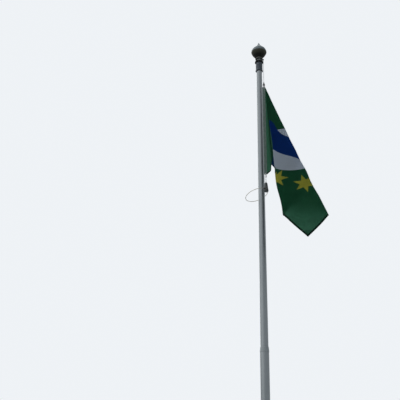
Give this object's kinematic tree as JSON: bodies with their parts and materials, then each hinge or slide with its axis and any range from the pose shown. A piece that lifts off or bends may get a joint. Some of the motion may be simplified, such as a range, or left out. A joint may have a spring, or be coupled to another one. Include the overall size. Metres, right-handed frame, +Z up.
{
  "type": "flagpole",
  "caption": "Sectional tapered flagpole with a revolving head and ball finial, a hoisted flag on an internal halyard, a counterweight and a retaining hoop.",
  "frame": {"origin": "centre of the base plate's underside, on the pole's axis", "axes": "+Z up along the pole; +X to the side that the halyard arm and the hanging flag point to; the access door faces -Y"},
  "size_m": [1.2161, 0.8045, 7.9503],
  "materials": {
    "galvanised_steel": "satin",
    "rubber_black": "matte",
    "satin_aluminium": "satin",
    "collar_grey": "satin",
    "lock_brass": "satin",
    "slate_aluminium": "satin",
    "black_aluminium": "satin",
    "finial_grey": "satin",
    "bearing_plastic": "satin",
    "halyard_rope": "matte",
    "hook_steel": "satin",
    "flag_cloth": "matte",
    "heading_canvas": "matte",
    "weight_iron": "matte",
    "hoop_wire": "satin",
    "ball_black": "satin"
  },
  "bodies": {
    "mast": {"base_plate": "galvanised_steel", "base_socket": "galvanised_steel", "gusset_right": "galvanised_steel", "gusset_back": "galvanised_steel", "gusset_left": "galvanised_steel", "gusset_front": "galvanised_steel", "rain_collar": "rubber_black", "lower_tube": "satin_aluminium", "access_door": "satin_aluminium", "door_strap": "galvanised_steel", "door_lock": "lock_brass", "joint_sleeve": "satin_aluminium", "joint_collar": "collar_grey", "upper_tube": "satin_aluminium", "top_plug": "satin_aluminium", "thrust_washer": "bearing_plastic", "bearing_ring": "bearing_plastic"},
    "head": {"head_sleeve": "slate_aluminium", "head_flange": "black_aluminium", "halyard_arm": "black_aluminium", "arm_bush": "bearing_plastic", "halyard": "halyard_rope", "finial_stem": "finial_grey", "finial_bead": "finial_grey", "finial_bowl": "finial_grey", "finial_dome": "finial_grey", "finial_spike": "finial_grey"},
    "flag_set": {"top_hook": "hook_steel", "top_ring": "hook_steel", "flag_heading": "heading_canvas", "flag": "flag_cloth", "bottom_ring": "hook_steel", "bottom_hook": "hook_steel", "weight_strop": "halyard_rope", "weight_eye": "hook_steel", "counterweight": "weight_iron", "retaining_hoop": "hoop_wire", "hoop_ball": "ball_black", "hoop_crimp": "hook_steel"}
  },
  "joints": [
    {"name": "head_turn", "type": "hinge", "parent": "mast", "child": "head", "pos_m": [0, 0, 7.43], "axis": [0, 0, 1], "continuous": true},
    {"name": "flag_hoist", "type": "slide", "parent": "head", "child": "flag_set", "axis": [0, 0, 1], "range_m": [-4, 0], "deforming": ["halyard"]}
  ]
}
